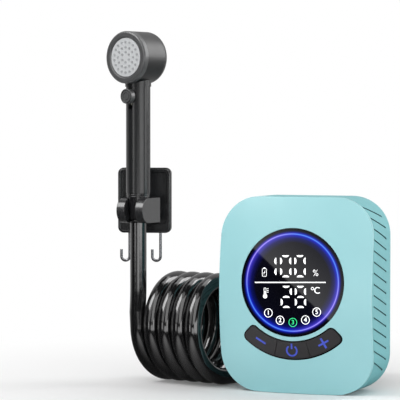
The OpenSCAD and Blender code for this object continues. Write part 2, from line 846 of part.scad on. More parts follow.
module in_cradle() in_holder() translate([0, 0, cradle_z]) rotate([0, 0, cradle_turn]) children();
module cradle() {
    half = cradle_h / 2;
    run = cradle_reach + cradle_back + 2 * cradle_h;
    color([0.3, 0.31, 0.33]) difference() {
        union() {
            difference() {
                in_cradle() rotate([0, 0, 90]) slab_y(-cradle_w / 2, cradle_w / 2)
                    translate([run / 2 - cradle_reach, 0]) stadium(run, cradle_h);
                in_holder() translate([-2 * cradle_w, cradle_back, cradle_z - cradle_h])
                    cube([4 * cradle_w, 2 * run, 2 * cradle_h]);
            }
            at_pivot() {
                rod_x(knuckle_r, -knuckle_w / 2, knuckle_w / 2);
                translate([-knuckle_w / 2, -13, -knuckle_r]) cube([knuckle_w, 13, 2 * knuckle_r]);
            }
        }
        in_cradle() {
            translate([0, 0, -half - eps]) cylinder(
                r1 = nut_radius(cradle_z - half) + seat_gap,
                r2 = nut_radius(cradle_z + half) + seat_gap,
                h = cradle_h + 2 * eps
            );
            translate([-cradle_slot / 2, -2 * cradle_reach, -cradle_h])
                cube([cradle_slot, 2 * cradle_reach, 2 * cradle_h]);
        }
        at_pivot() rod_x(pin_r + 0.05, -knuckle_w, knuckle_w);
    }
}
module holder_plate() {
    ear_x = knuckle_w / 2 + 0.3;
    color([0.26, 0.27, 0.29]) difference() {
        union() {
            in_holder() translate([0, 0, plate_z])
                slab_y(plate_y, plate_y + plate_t) rounded(plate_w, plate_h, 5);
            at_pivot()
                for (s = [0, 1])
                    mirror([s, 0, 0]) {
                        rod_x(knuckle_r + 0.3, ear_x, ear_x + ear_w);
                        translate([ear_x, 0, -knuckle_r - 0.3])
                            cube([ear_w, plate_y - pivot_back + 2, 2 * knuckle_r + 0.6]);
                    }
        }
        in_holder() translate([0, 0, plate_z + 2]) difference() {
            slab_y(plate_y - 1, plate_y + 1.2) rounded(plate_w - 8, plate_h - 12, 3);
            translate([0, 0, cradle_z - plate_z - 2])
                slab_y(plate_y - 2, plate_y + 2) square([2 * ear_x + 2 * ear_w + 2, 2 * knuckle_r + 5], center = true);
        }
        at_pivot() rod_x(pin_r + 0.02, -ear_x - ear_w - 1, ear_x + ear_w + 1);
        at_hooks() rod_z(hook_r + 0.03, -1, 5.5);
    }
}
module at_hooks() {
    for (x = [-1, 1])
        in_holder() translate([13.5 * x, plate_y + plate_t / 2 + 0.4, plate_z - plate_h / 2]) children();
}
module holder_hooks() {
    bend = 2.4 + hook_r;
    color([0.7, 0.71, 0.73]) at_hooks() {
        rod_z(hook_r, -hook_drop, 5);
        translate([-bend, 0, -hook_drop]) rotate([90, 0, 0]) rotate([0, 0, 180])
            rotate_extrude(angle = 180) translate([bend, 0]) circle(hook_r);
        translate([-2 * bend, 0, 0]) rod_z(hook_r, -hook_drop, 6 - hook_drop);
    }
}
module holder_pad() {
    color([0.85, 0.85, 0.82]) in_holder() translate([0, 0, plate_z])
        slab_y(plate_y + plate_t, plate_y + plate_t + 1) rounded(plate_w - 4, plate_h - 4, 4);
}
module tilt_pin() {
    end = knuckle_w / 2 + 0.3 + ear_w;
    color([0.72, 0.73, 0.75]) at_pivot() {
        rod_x(pin_r, -end, end + eps);
        rod_x(2.3 * pin_r, end, end + 2.2);
    }
}

front_cover();
rear_shell();
seam_gasket();
display_lens();
light_ring();
display_module();
control_board();
key_switches();
board_screws();
key_bezel();
minus_key();
power_key();
plus_key();
battery_tray();
battery_cells();
motor();
motor_shaft();
impeller();
shaft_seal();
pump_casing();
casing_cover();
inlet_strainer();
outlet_spigot();
spigot_oring();
outlet_nut();
charge_socket();
charge_cover();
case_screws();
screw_plugs();
hose_riser();
hose_coil();
hose_tail();
handle();
head_shell();
head_ring();
head_gasket();
nozzle_plate();
stop_slider();
valve_spool();
hose_nut();
nut_washer();
holder_plate();
holder_pad();
cradle();
tilt_pin();
holder_hooks();
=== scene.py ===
# %% [markdown]
# # A camp shower pump, its coiled hose, hand shower and holder
# The solids of the part come in as a fixed frame: metres, +Z up, the display facing -Y and the floor at
# zero. This lesson dresses that frame. It sets the camera, lays the hose, builds the small pieces that a
# solid model leaves out, and gives every surface a finish made of shader nodes.

# %% Load the frame
import math
import bmesh
import bpy
from mathutils import Matrix, Vector


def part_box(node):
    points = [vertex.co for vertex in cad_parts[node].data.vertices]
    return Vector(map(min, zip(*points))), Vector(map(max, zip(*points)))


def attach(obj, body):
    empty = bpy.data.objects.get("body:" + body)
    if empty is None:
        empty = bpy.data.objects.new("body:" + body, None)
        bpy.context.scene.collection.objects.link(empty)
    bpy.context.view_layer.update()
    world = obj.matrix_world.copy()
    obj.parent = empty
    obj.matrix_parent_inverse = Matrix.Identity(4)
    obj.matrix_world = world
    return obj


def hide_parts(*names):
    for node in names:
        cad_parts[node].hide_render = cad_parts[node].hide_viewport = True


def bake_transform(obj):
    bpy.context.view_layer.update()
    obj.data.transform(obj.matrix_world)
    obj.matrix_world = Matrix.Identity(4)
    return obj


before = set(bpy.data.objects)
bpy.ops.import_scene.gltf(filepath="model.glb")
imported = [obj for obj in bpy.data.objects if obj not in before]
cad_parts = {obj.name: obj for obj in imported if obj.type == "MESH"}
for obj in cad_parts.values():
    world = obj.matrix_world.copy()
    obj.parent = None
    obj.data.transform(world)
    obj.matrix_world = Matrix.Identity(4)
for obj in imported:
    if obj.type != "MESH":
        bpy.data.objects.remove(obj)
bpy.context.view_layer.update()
scene = bpy.context.scene
scene.view_settings.view_transform = "Standard"
print("nodes in the frame:", len(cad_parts))

# %% [markdown]
# ## The camera
# A product camera stands well back with a long lens, so the pump keeps nearly parallel edges. One could aim
# a camera by hand, but here its three axes are worked out from how far it is turned and lifted. The spot in
# the middle of the display then falls on a chosen pixel of a 400 pixel frame.

# %% Camera
MM = 0.001
turned = math.radians(22.3)
lifted = math.radians(2.0)
reach = 1700 * MM
pixel = 0.81 * MM
frame_px, sensor = 400, 36
spot_right, spot_down = 91.6, 83.7
toward = Vector((math.sin(turned) * math.cos(lifted), -math.cos(turned) * math.cos(lifted), math.sin(lifted)))
across = Vector((math.cos(turned), math.sin(turned), 0))
upward = toward.cross(across)
spot = Vector((0, -32, 90.5)) * MM
lens = bpy.data.cameras.new("camera")
lens.sensor_width = sensor
lens.lens = sensor * reach / pixel / frame_px
camera = bpy.data.objects.new("camera", lens)
camera.matrix_world = Matrix((across, upward, toward)).transposed().to_4x4()
camera.location = spot + toward * reach - across * spot_right * pixel + upward * spot_down * pixel
scene.collection.objects.link(camera)
scene.camera = camera
print("lens", round(lens.lens, 1), "mm, camera at", tuple(round(v, 3) for v in camera.location))

# %% [markdown]
# ## The hose
# The hose is a smooth rubber tube, 14 mm thick, that leaves a nut on the pump's back, runs along the floor
# in a wide bend, is wound into a moulded coil lying on its side, and climbs to the hand shower. Its top bends
# when the holder tilts; here it is built as a mesh. The route comes first, as one line of points from the
# pump to the hand shower.

# %% Route of the hose
hose_d = 14 * MM
riser = Vector((-146, -9, 0)) * MM
coil_r = 40 * MM
coil_pitch = 14.6 * MM
coil_turned = math.radians(-15)
coil_axis = Vector((math.cos(coil_turned), math.sin(coil_turned), 0))
coil_away = Vector((-math.sin(coil_turned), math.cos(coil_turned), 0))
coil_mid = riser + Vector((0, 0, coil_r + hose_d / 2)) + coil_away * coil_r
coil_end = math.radians(4 * 360 + 90)


def on_coil(a):
    """The middle of the hose after winding through an angle."""
    along = coil_axis * coil_pitch * a / (2 * math.pi)
    return coil_mid + along - coil_away * coil_r * math.cos(a) - Vector((0, 0, 1)) * coil_r * math.sin(a)


def coil_heading(a):
    return (on_coil(a + 0.001) - on_coil(a - 0.001)).normalized()


floor_run = [(42, 56.5, 36), (42, 68, 36), (41, 80, 34), (38, 93, 30), (32, 107, 25), (22, 119, 21),
             (9, 127, 17), (-6, 132, 14), (-22, 132, 11), (-37, 127, 9), (-50, 119, 8), (-60, 107, 7),
             (-66, 93, 7), (-68, 78, 7), (-68, 62, 7), (-68, 45, 7)]
tail = [Vector(p) * MM for p in floor_run] + [on_coil(coil_end) + coil_heading(coil_end) * hose_d]
steps = 255
wound = [on_coil(coil_end * (1 - i / steps)) for i in range(steps + 1)]
climb = [on_coil(0) - coil_heading(0) * hose_d]
climb += [riser + Vector((0, 0, z)) * MM for z in (75.5, 87.5, 101.5, 115.5, 127.5, 139.5)]
print("points chosen by hand:", len(tail) + len(climb), "and in the coil:", len(wound))

# %% Smooth the route


def flowing(points, parts):
    """Points on a smooth line through the given ones, with each span cut into parts."""
    line = []
    ends = [2 * points[0] - points[1]] + points + [2 * points[-1] - points[-2]]
    for a, b, c, d in zip(ends, ends[1:], ends[2:], ends[3:]):
        for i in range(parts):
            t = i / parts
            bend = a - 2.5 * b + 2 * c - d / 2 + t * (1.5 * (b - c) + (d - a) / 2)
            line.append(b + t * ((c - a) / 2 + t * bend))
    return line + [points[-1]]


def relaxed(points, rounds):
    """The same line with its small wobbles averaged away and its ends kept."""
    for _ in range(rounds):
        inner = [(a + 2 * b + c) / 4 for a, b, c in zip(points[1:], points[2:], points[3:])]
        points = points[:2] + inner + points[-2:]
    return points


hose_line = relaxed(flowing(tail, 4), 12) + wound + relaxed(flowing(climb, 4), 6)

# %% [markdown]
# ## A tube along a line
# A circle of vertices is extruded again and again, and each new ring is turned into the direction of the
# line there. Turning each ring by the smallest angle from the last one keeps the tube from twisting. Every
# ring also stores how far along the hose it is, which the rubber's finish reads later.

# %% Tube maker


def tube_along(line, radius, sides):
    """A closed tube along a line of points."""
    bm = bmesh.new()
    along = bm.verts.layers.float.new("along")
    heading = (line[1] - line[0]).normalized()
    turn = heading.to_track_quat("Z", "Y")
    place = Matrix.Translation(line[0]) @ turn.to_matrix().to_4x4()
    bmesh.ops.create_circle(bm, segments=sides, radius=radius, matrix=place)
    rim = bm.edges[:]
    gone = 0
    for i in range(1, len(line)):
        after = line[min(i + 1, len(line) - 1)]
        new_heading = (after - line[i - 1]).normalized()
        turn = heading.rotation_difference(new_heading) @ turn
        heading = new_heading
        new_place = Matrix.Translation(line[i]) @ turn.to_matrix().to_4x4()
        made = bmesh.ops.extrude_edge_only(bm, edges=rim)["geom"]
        ring = {v for v in made if isinstance(v, bmesh.types.BMVert)}
        rim = [e for e in made if isinstance(e, bmesh.types.BMEdge) and set(e.verts) <= ring]
        bmesh.ops.transform(bm, matrix=new_place @ place.inverted(), verts=list(ring))
        gone += (line[i] - line[i - 1]).length
        for v in ring:
            v[along] = gone
        place = new_place
    bmesh.ops.holes_fill(bm, edges=[e for e in bm.edges if e.is_boundary], sides=0)
    bmesh.ops.recalc_face_normals(bm, faces=bm.faces)
    return bm


def piece(name, bm, material=None, smooth=True):
    """A finished mesh becomes an object at the origin, with its finish if that is known."""
    for face in bm.faces:
        face.smooth = smooth
    mesh = bpy.data.meshes.new(name)
    bm.to_mesh(mesh)
    bm.free()
    if material:
        mesh.materials.append(material)
    obj = bpy.data.objects.new(name, mesh)
    scene.collection.objects.link(obj)
    return obj


hose = piece("hose", tube_along(hose_line, hose_d / 2, 24))
print("hose faces:", len(hose.data.polygons))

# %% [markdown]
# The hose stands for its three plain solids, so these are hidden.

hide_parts("hose_riser", "hose_coil", "hose_tail")
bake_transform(hose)
print("the hose leaves the pump at", tuple(round(v, 3) for v in hose_line[0]))

# %% [markdown]
# ## The floor
# The object stands on a plain pale floor that keeps its soft shadow. Far from the object the floor fades
# into the same white as the background, so no horizon shows. The fade reads the floor's own coordinates,
# and only rays that look at the floor see it, so it adds no light. In gloss the floor shows painted light and
# shade instead of its own shading: white behind the object, dim in front, like the room round it, and one
# painted pool of light before the coil.

# %% Node helpers


def new_material(name):
    """A material, with its nodes, its links and its shader at hand."""
    material = bpy.data.materials.new(name)
    material.use_nodes = True
    tree = material.node_tree
    return material, tree.nodes, tree.links, tree.nodes["Principled BSDF"]


def vector_math(nodes, operation, by=None):
    made = nodes.new("ShaderNodeVectorMath")
    made.operation = operation
    if by is not None:
        made.inputs[1].default_value = by
    return made


def map_range(nodes, from_min, from_max, to_min=0, to_max=1, kind="SMOOTHSTEP"):
    made = nodes.new("ShaderNodeMapRange")
    made.interpolation_type = kind
    ends = (("From Min", from_min), ("From Max", from_max), ("To Min", to_min), ("To Max", to_max))
    for name, value in ends:
        made.inputs[name].default_value = value
    return made


print("node helpers ready")

# %% Floor
floor_r, fade_end = 4, 0.5
under_foot = Matrix.Translation((0, 0, -0.3 * MM))
studio_dim = (0, 0.6, 0.03, 0.7)
bm = bmesh.new()
bmesh.ops.create_circle(bm, cap_ends=True, segments=96, radius=floor_r, matrix=under_foot)
paint, nodes, links, matt = new_material("pale_floor")
floor = piece("floor", bm, paint)
matt.inputs["Base Color"].default_value = (0.82, 0.82, 0.82, 1)
matt.inputs["Roughness"].default_value = 0.7
glow = nodes.new("ShaderNodeEmission")
where = nodes.new("ShaderNodeTexCoord")
far = vector_math(nodes, "LENGTH")
fade = map_range(nodes, 0, fade_end)
ahead = vector_math(nodes, "DOT_PRODUCT", -toward)
# painted shade: in gloss the floor is dim in front, whatever light falls on it
dim = map_range(nodes, *studio_dim)
# painted pool of light on the floor, which only gloss sees
painted_pool_place = nodes.new("ShaderNodeMapping")
painted_pool_place.vector_type = "TEXTURE"
painted_pool_place.inputs["Location"].default_value = (-0.1, -0.165, 0)
painted_pool_place.inputs["Scale"].default_value = (0.095, 0.19, 1)
painted_pool_size = vector_math(nodes, "LENGTH")
painted_pool = map_range(nodes, 0.2, 1, 0.9, 0)
looking = nodes.new("ShaderNodeLightPath")
print("floor across", 2 * floor_r, "m")

# %% Floor fade


def either(nodes, links, *rays):
    """One when any of the named kinds of ray is looking."""
    total = rays[0]
    for ray in rays[1:]:
        larger = nodes.new("ShaderNodeMath")
        larger.operation = "MAXIMUM"
        links.new(total, larger.inputs[0])
        links.new(ray, larger.inputs[1])
        total = larger.outputs[0]
    return total


seen = either(nodes, links, looking.outputs["Is Camera Ray"], looking.outputs["Is Transmission Ray"])
share = nodes.new("ShaderNodeMath")
share.operation = "MULTIPLY"
blend = nodes.new("ShaderNodeMixShader")
links.new(where.outputs["Object"], far.inputs[0])
links.new(far.outputs["Value"], fade.inputs["Value"])
links.new(fade.outputs["Result"], share.inputs[0])
links.new(seen, share.inputs[1])
links.new(either(nodes, links, share.outputs[0], looking.outputs["Is Glossy Ray"]), blend.inputs[0])
links.new(matt.outputs[0], blend.inputs[1])
links.new(glow.outputs[0], blend.inputs[2])
links.new(blend.outputs[0], nodes["Material Output"].inputs["Surface"])
links.new(where.outputs["Object"], ahead.inputs[0])
links.new(ahead.outputs["Value"], dim.inputs["Value"])
links.new(where.outputs["Object"], painted_pool_place.inputs["Vector"])
links.new(painted_pool_place.outputs["Vector"], painted_pool_size.inputs[0])
links.new(painted_pool_size.outputs["Value"], painted_pool.inputs["Value"])
bright = either(nodes, links, seen, dim.outputs["Result"], painted_pool.outputs["Result"])
links.new(bright, glow.inputs["Strength"])
glow.inputs["Color"].default_value = (1, 1, 1, 1)
print("floor fades to white by", fade_end, "m")

# %% [markdown]
# ## The room
# The background is white where the camera looks at it. Gloss sees a studio: white behind the object, as a
# lit backdrop is, and dim in front, where a photographer hangs dark cloth so that black rubber stays black.
# Matt surfaces get an even, modest fill from all round.

# %% World
world = bpy.data.worlds.new("studio")
scene.world = world
world.use_nodes = True
nodes, links = world.node_tree.nodes, world.node_tree.links
nodes.clear()
out = nodes.new("ShaderNodeOutputWorld")
fill, white, room = (nodes.new("ShaderNodeBackground") for _ in range(3))
for light, strength in ((fill, 0.2), (white, 1)):
    light.inputs["Color"].default_value = (1, 1, 1, 1)
    light.inputs["Strength"].default_value = strength
where = nodes.new("ShaderNodeTexCoord")
behind = vector_math(nodes, "DOT_PRODUCT", -toward)
dim = map_range(nodes, *studio_dim)
looking = nodes.new("ShaderNodeLightPath")
first, second = (nodes.new("ShaderNodeMixShader") for _ in range(2))
links.new(where.outputs["Generated"], behind.inputs[0])
links.new(behind.outputs["Value"], dim.inputs["Value"])
links.new(dim.outputs["Result"], room.inputs["Strength"])
seen = either(nodes, links, looking.outputs["Is Camera Ray"], looking.outputs["Is Transmission Ray"])
links.new(seen, first.inputs[0])
links.new(looking.outputs["Is Glossy Ray"], second.inputs[0])
links.new(fill.outputs[0], second.inputs[1])
links.new(room.outputs[0], second.inputs[2])
links.new(second.outputs[0], first.inputs[1])
links.new(white.outputs[0], first.inputs[2])
links.new(first.outputs[0], out.inputs[0])
print("studio fill", fill.inputs["Strength"].default_value)

# %% [markdown]
# ## The lamps
# A product studio lights black rubber by what it mirrors, so the lamps are chosen by their reflections. A
# tall box in front and the low card under it draw the bright streak down every coil of the hose. Two boxes
# high on the left light the teal face and the holder's arms. A low strip on the left and two boxes on the
# right draw the grey bands down the handle, a tall box behind on the right shines along the side of the
# shower head, and one overhead edges the tops. Each is placed by its compass angle from the front, its
# height angle and its distance.

# %% Soft boxes
middle = Vector((-40, 0, 120)) * MM


def soft_box(name, compass, height, away, width, length, watts):
    """A lamp with its angles in degrees, its distance and size in metres."""
    data = bpy.data.lights.new(name, "AREA")
    data.shape = "RECTANGLE"
    data.size = width
    data.size_y = length
    data.energy = watts
    obj = bpy.data.objects.new(name, data)
    turn, rise = math.radians(compass), math.radians(height)
    away_from = Vector((math.sin(turn) * math.cos(rise), -math.cos(turn) * math.cos(rise), math.sin(rise)))
    obj.location = middle + away_from * away
    obj.rotation_euler = away_from.to_track_quat("Z", "Y").to_euler()
    obj.visible_camera = False
    scene.collection.objects.link(obj)


soft_box("left_box", -50, 44, 1.55, 0.85, 0.85, 10)
soft_box("high_box", -21, 42, 1.5, 0.9, 1.8, 4.6)
soft_box("low_strip", -26, 1.7, 1.5, 0.26, 0.33, 0.65)
soft_box("front_box", 28, 35, 1.5, 0.9, 1.4, 6)
soft_box("low_card", 16, -3.5, 0.82, 0.4, 0.14, 0.35)
soft_box("right_box", 55, 3, 1.33, 1.0, 0.36, 2.7)
soft_box("side_box", 100, 10, 1.33, 0.5, 0.6, 2)
soft_box("back_box", 128, 38, 1.5, 0.5, 1.9, 13)
soft_box("top_box", 170, 74, 1.25, 0.9, 0.5, 2.2)

# %% [markdown]
# ## Moulded plastic
# Most of the object is moulded plastic. Up close such a skin is never one flat colour: the tone drifts a
# little over a hand's width, handling leaves patches that shine more or less, and the mould's fine grain
# breaks up the highlights. These three effects go into one node group that every plastic shares. It gives
# out a colour, a roughness and a height, and each material keeps its own shader.

# %% Skin group
skin_group = bpy.data.node_groups.new("moulded_skin", "ShaderNodeTree")
for way, labels in (("INPUT", ("Colour", "Drift", "Shiny", "Dull", "Grain")),
                    ("OUTPUT", ("Colour", "Roughness", "Height"))):
    for label in labels:
        kind = "NodeSocketColor" if label == "Colour" else "NodeSocketFloat"
        skin_group.interface.new_socket(label, in_out=way, socket_type=kind)
nodes, links = skin_group.nodes, skin_group.links
given = nodes.new("NodeGroupInput")
result = nodes.new("NodeGroupOutput")
where = nodes.new("ShaderNodeTexCoord")


def noise(nodes, links, where, scale, detail):
    made = nodes.new("ShaderNodeTexNoise")
    made.inputs["Scale"].default_value = scale
    made.inputs["Detail"].default_value = detail
    links.new(where, made.inputs["Vector"])
    return made


tone = noise(nodes, links, where.outputs["Object"], 22, 2)
patch = noise(nodes, links, where.outputs["Object"], 75, 4)
grain = noise(nodes, links, where.outputs["Object"], 1, 2)
links.new(given.outputs["Grain"], grain.inputs["Scale"])
print("group sockets:", len(skin_group.interface.items_tree))

# %% Skin group wiring


def stretched(nodes, links, value, low, high):
    """Spreads the middle of a noise over a range, whose ends are numbers or sockets."""
    made = map_range(nodes, 0.3, 0.7, kind="LINEAR")
    links.new(value, made.inputs["Value"])
    for socket, end in (("To Min", low), ("To Max", high)):
        if isinstance(end, (int, float)):
            made.inputs[socket].default_value = end
        else:
            links.new(end, made.inputs[socket])
    return made.outputs["Result"]


lighter = nodes.new("ShaderNodeMath")
lighter.operation = "MULTIPLY_ADD"
lighter.inputs[2].default_value = 1
tinted = nodes.new("ShaderNodeHueSaturation")
links.new(stretched(nodes, links, tone.outputs["Fac"], -1, 1), lighter.inputs[0])
links.new(given.outputs["Drift"], lighter.inputs[1])
links.new(given.outputs["Colour"], tinted.inputs["Color"])
links.new(lighter.outputs[0], tinted.inputs["Value"])
links.new(tinted.outputs["Color"], result.inputs["Colour"])
rough = stretched(nodes, links, patch.outputs["Fac"], given.outputs["Shiny"], given.outputs["Dull"])
links.new(rough, result.inputs["Roughness"])
links.new(grain.outputs["Fac"], result.inputs["Height"])
print("skin group nodes:", len(nodes))

# %% [markdown]
# A maker for plastics then needs only a colour, a range of roughness and how coarse the grain is. Sharp
# solid edges catch no light, while moulded edges always carry a small radius, so the shading normal is
# rounded over a fraction of a millimetre before the grain is laid on it.

# %% Plastic maker


def moulded(name, colour, shiny, dull, drift=0.03, grain=2500, relief=0.1, edge=0.4, mirror=1.5):
    """A plastic: its edge radius is in millimetres, and mirror is its index of refraction."""
    material, nodes, links, shader = new_material(name)
    skin = nodes.new("ShaderNodeGroup")
    skin.node_tree = skin_group
    skin.inputs["Colour"].default_value = (*colour, 1)
    for label, value in (("Drift", drift), ("Shiny", shiny), ("Dull", dull), ("Grain", grain)):
        skin.inputs[label].default_value = value
    bump = nodes.new("ShaderNodeBump")
    bump.inputs["Strength"].default_value = relief
    bump.inputs["Distance"].default_value = 0.3 * MM
    if edge:
        rounded = nodes.new("ShaderNodeBevel")
        rounded.samples = 12
        rounded.inputs["Radius"].default_value = edge * MM
        links.new(rounded.outputs["Normal"], bump.inputs["Normal"])
    links.new(skin.outputs["Colour"], shader.inputs["Base Color"])
    links.new(skin.outputs["Roughness"], shader.inputs["Roughness"])
    links.new(skin.outputs["Height"], bump.inputs["Height"])
    links.new(bump.outputs["Normal"], shader.inputs["Normal"])
    shader.inputs["IOR"].default_value = mirror
    return material


def dress(material, *names):
    """Puts a finish on nodes of the frame."""
    for name in names:
        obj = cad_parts[name]
        if not obj.material_slots:
            obj.data.materials.append(material)
        for slot in obj.material_slots:
            slot.material = material


print("plastic maker ready")

# %% [markdown]
# ## The teal case
# The crowned front is satin paint over plastic, smooth with a soft sheen. The rear shell is the same teal,
# but its colour is darker as painted shade; it leaves its mould with a fine stipple, so it looks duller from
# the side.

# %% Teal finishes
teal_front = moulded("teal_satin", (0.315, 0.61, 0.645), 0.30, 0.35, 0.015, 3000, 0.02, 0, 1.6)
# painted shade: the rear shell is given a darker teal than the front, though it is the same plastic
teal_back_shaded = moulded("teal_stipple_shaded", (0.18, 0.47, 0.50), 0.42, 0.52, 0.02, 1900, 0.35, 0.5)
dress(teal_front, "front_cover")
dress(teal_back_shaded, "rear_shell", "screw_plugs")
print("teal pieces dressed")

# %% [markdown]
# The slanted grip grooves of the rear shell gather dust and shade, so they look darker than the skin round
# them. An ambient occlusion node that looks only at the shell itself finds the narrow places, and the colour
# is darkened there.

# %% Shade in the grooves
groove_reach = 2.2
nodes, links = teal_back_shaded.node_tree.nodes, teal_back_shaded.node_tree.links
narrow = nodes.new("ShaderNodeAmbientOcclusion")
narrow.samples = 8
narrow.only_local = True
narrow.inputs["Distance"].default_value = groove_reach * MM
depth = map_range(nodes, 0.35, 0.85, 0.3, 1, kind="LINEAR")
shaded = nodes.new("ShaderNodeMix")
shaded.data_type = "RGBA"
shaded.blend_type = "MULTIPLY"
shaded.inputs[0].default_value = 1
skin = next(n for n in nodes if n.type == "GROUP")
links.new(narrow.outputs["AO"], depth.inputs["Value"])
links.new(skin.outputs["Colour"], shaded.inputs[6])
links.new(depth.outputs["Result"], shaded.inputs[7])
links.new(shaded.outputs[2], nodes["Principled BSDF"].inputs["Base Color"])
print("grooves shaded over", groove_reach, "mm")

# %% [markdown]
# ## Black and grey plastics
# The keys are charcoal, a little warm, with a fine grain. The fittings, the holder and the hand shower are
# darker and smoother, and the hand shower's ring and knob are paler. Each gets its own range of gloss,
# because side by side these are what tell them apart.

# %% Dark finishes
key_skin = moulded("key_charcoal", (0.031, 0.029, 0.031), 0.42, 0.5, 0.06, 3500, 0.1, 0.3)
bezel_skin = moulded("bezel_black", (0.004, 0.004, 0.005), 0.2, 0.26, 0.05, 3000, 0.04, 0.2)
fitting_skin = moulded("fitting_black", (0.022, 0.024, 0.027), 0.32, 0.38, 0.05, 2200, 0.08, 0.4)
handset_skin = moulded("handset_grey", (0.012, 0.0125, 0.0135), 0.22, 0.26, 0.04, 2600, 0.006, 0, 1.62)
head_skin = moulded("head_grey", (0.006, 0.0062, 0.0067), 0.34, 0.39, 0.04, 2600, 0.006, 0, 1.85)
ring_skin = moulded("ring_grey", (0.06, 0.061, 0.063), 0.34, 0.39, 0.04, 2600, 0.006, 0.6, 1.95)
trim_skin = moulded("trim_grey", (0.016, 0.0165, 0.018), 0.22, 0.26, 0.04, 2600, 0.006, 0.6, 1.9)
holder_skin = moulded("holder_grey", (0.010, 0.0105, 0.0115), 0.2, 0.26, 0.04, 2400, 0.01, 0.8, 1.62)
rubber_skin = moulded("seal_rubber", (0.012, 0.013, 0.014), 0.5, 0.65, 0.08, 1800, 0.2, 0.2)
dress(key_skin, "minus_key", "power_key", "plus_key")
dress(bezel_skin, "key_bezel")
dress(fitting_skin, "inlet_strainer", "outlet_spigot", "outlet_nut", "charge_socket")
dress(handset_skin, "handle")
dress(head_skin, "head_shell")
dress(ring_skin, "head_ring", "stop_slider")
dress(trim_skin, "cradle")
dress(holder_skin, "holder_plate")
dress(rubber_skin, "seam_gasket", "charge_cover", "shaft_seal", "spigot_oring", "head_gasket", "nut_washer")
print("dark pieces dressed")

# %% [markdown]
# ## Inner pieces
# Most of these hide in the case, but a viewer may take the part to pieces, so they are finished as well:
# grey trays, a pale impeller, green board, wrapped battery cells, and a pale spray face.

# %% Inner finishes
inner_skin = moulded("inner_grey", (0.047, 0.051, 0.058), 0.5, 0.62, 0.05, 1800, 0.2)
dress(inner_skin, "battery_tray", "pump_casing", "casing_cover")
dress(moulded("impeller_cream", (0.66, 0.66, 0.58), 0.35, 0.48, 0.03, 2000, 0.1), "impeller", "valve_spool")
dress(moulded("board_green", (0.012, 0.10, 0.035), 0.3, 0.42, 0.12, 1500, 0.2), "control_board")
dress(moulded("cell_wrap_blue", (0.025, 0.12, 0.36), 0.25, 0.36, 0.04, 900, 0.05), "battery_cells")
dress(moulded("display_black", (0.006, 0.006, 0.008), 0.5, 0.6, 0.05, 2000, 0.1), "display_module")
dress(moulded("light_guide", (0.45, 0.48, 0.85), 0.3, 0.4, 0.03, 2000, 0.05), "light_ring")
dress(moulded("nozzle_pale", (0.50, 0.51, 0.52), 0.34, 0.42, 0.03, 2400, 0.05, 0.2), "nozzle_plate")
dress(moulded("pad_foam", (0.60, 0.60, 0.55), 0.85, 0.95, 0.08, 1300, 0.6, 0), "holder_pad")
print("inner pieces dressed")

# %% [markdown]
# ## Steel
# The hooks, the pin, the screws and the motor can are drawn or turned steel. Fine lines run round the metal,
# which a noise stretched far more along one direction than the others gives.

# %% Steel finish


def ramp(nodes, stops):
    """A Color Ramp node from pairs of a place and a colour."""
    made = nodes.new("ShaderNodeValToRGB")
    line = made.color_ramp
    while len(line.elements) < len(stops):
        line.elements.new(0.5)
    for element, (place, colour) in zip(line.elements, stops):
        element.position = place
        element.color = (*colour, 1)
    return made


steel, nodes, links, shader = new_material("drawn_steel")
shader.inputs["Metallic"].default_value = 1
where = nodes.new("ShaderNodeTexCoord")
squeezed = nodes.new("ShaderNodeMapping")
squeezed.inputs["Scale"].default_value = (60, 60, 2600)
lines = noise(nodes, links, squeezed.outputs["Vector"], 1, 3)
tones = ramp(nodes, [(0, (0.22, 0.22, 0.23)), (1, (0.4, 0.4, 0.42))])
bump = nodes.new("ShaderNodeBump")
bump.inputs["Strength"].default_value = 0.15
bump.inputs["Distance"].default_value = 0.05 * MM
links.new(where.outputs["Object"], squeezed.inputs["Vector"])
links.new(lines.outputs["Fac"], tones.inputs["Fac"])
links.new(tones.outputs["Color"], shader.inputs["Base Color"])
links.new(stretched(nodes, links, lines.outputs["Fac"], 0.18, 0.34), shader.inputs["Roughness"])
links.new(lines.outputs["Fac"], bump.inputs["Height"])
links.new(bump.outputs["Normal"], shader.inputs["Normal"])
dress(steel, "key_switches", "board_screws", "motor", "motor_shaft", "case_screws", "tilt_pin",
      "holder_hooks")
print("steel pieces dressed")

# %% [markdown]
# ## Hose rubber
# The hose is glossy black rubber. Drawing it through a die leaves very faint ripples along its length, which
# show as a slight waver in the long highlights. They are read from the distance that each ring stored.

# %% Hose finish
hose_skin = moulded("hose_rubber", (0.004, 0.004, 0.0045), 0.10, 0.13, 0.1, 1500, 0.02, 0, 1.95)
nodes, links = hose_skin.node_tree.nodes, hose_skin.node_tree.links
distance = nodes.new("ShaderNodeAttribute")
distance.attribute_name = "along"
ripple = nodes.new("ShaderNodeTexNoise")
ripple.noise_dimensions = "1D"
ripple.inputs["Scale"].default_value = 90
ripple.inputs["Detail"].default_value = 1
swell = nodes.new("ShaderNodeBump")
swell.inputs["Strength"].default_value = 0.04
swell.inputs["Distance"].default_value = 1 * MM
links.new(distance.outputs["Fac"], ripple.inputs["W"])
links.new(ripple.outputs["Fac"], swell.inputs["Height"])
links.new(swell.outputs["Normal"], nodes["Bump"].inputs["Normal"])
hose.data.materials.append(hose_skin)
nut_skin = moulded("nut_gloss", (0.006, 0.006, 0.007), 0.12, 0.16, 0.06, 1500, 0.01, 0.4, 1.8)
dress(nut_skin, "hose_nut")
print("hose and its nut dressed")

# %% [markdown]
# ## The display glass
# The display is a disc of black glass set square to the crowned front. A ring of light shines through near
# its rim: a thin bright line, a blue edge outside it, and a glow that dies away towards the middle. The
# ring's colour drifts between blue and violet. All of it follows the distance from the middle of the disc,
# so a Mapping node first brings the glass to the origin and stands it upright.

